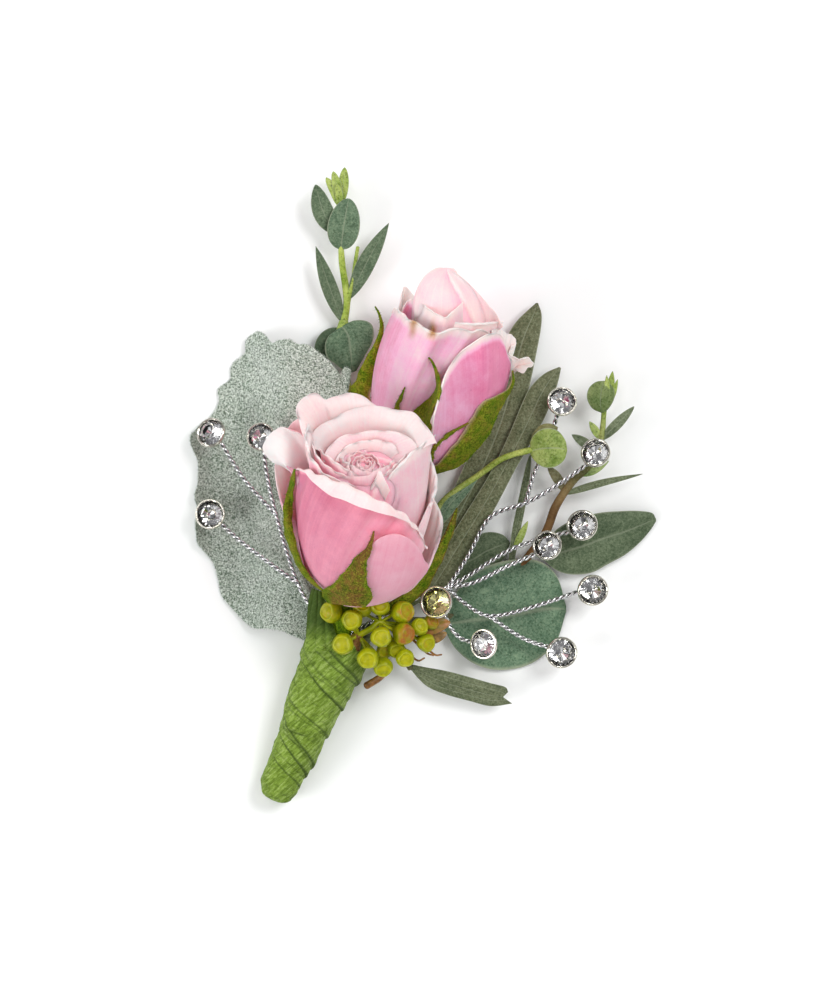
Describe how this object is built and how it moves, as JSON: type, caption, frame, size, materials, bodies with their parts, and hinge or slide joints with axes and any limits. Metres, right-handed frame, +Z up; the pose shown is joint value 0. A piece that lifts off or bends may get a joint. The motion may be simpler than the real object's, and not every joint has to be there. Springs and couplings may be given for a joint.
{
  "type": "boutonniere",
  "caption": "Taped boutonniere: two pink roses, a felted silver leaf, eucalyptus sprigs, long narrow leaves, seeded berries and faceted stones on twisted wire.",
  "frame": {"origin": "on the surface it lies on, under the middle of its bounding box", "axes": "+Z up, away from the surface; +Y from the taped handle to the tip of the top sprig; +X to the right as seen from above"},
  "size_m": [0.0936, 0.1271, 0.0479],
  "materials": {
    "tape": "waxed crepe tape",
    "petal_pale": "soft petal, blush to rose pink",
    "petal_pink": "soft petal, deeper pink",
    "sepal": "green with brown tips",
    "felt_leaf": "silver felt",
    "sprig": "matt blue-green leaf",
    "long_leaf": "matt grey-olive leaf",
    "berry": "smooth yellow-green seed capsule",
    "wire": "bright twisted wire",
    "setting": "bright pressed cup",
    "stone": "clear, faceted",
    "lime_stone": "yellow-green, faceted"
  },
  "bodies": {
    "root": {"handle_tape": "tape", "front_rose_bloom": "petal_pale", "front_rose_calyx": "sepal", "back_rose_bloom": "petal_pink", "back_rose_calyx": "sepal", "felt_leaf": "felt_leaf", "top_sprig": "sprig", "long_leaf_spray": "long_leaf", "right_sprig": "sprig", "seeded_eucalyptus": "berry", "left_wires": "wire", "right_wires": "wire", "setting_left_upper": "setting", "setting_left_hidden": "setting", "setting_left_lower": "setting", "setting_top_right": "setting", "setting_far_right": "setting", "setting_right_middle": "setting", "setting_right_inner": "setting", "setting_right_lower": "setting", "setting_low_outer": "setting", "setting_low_inner": "setting", "setting_lime": "setting", "stone_left_upper": "stone", "stone_left_hidden": "stone", "stone_left_lower": "stone", "stone_top_right": "stone", "stone_far_right": "stone", "stone_right_middle": "stone", "stone_right_inner": "stone", "stone_right_lower": "stone", "stone_low_outer": "stone", "stone_low_inner": "stone", "stone_lime": "lime_stone"}
  },
  "joints": []
}
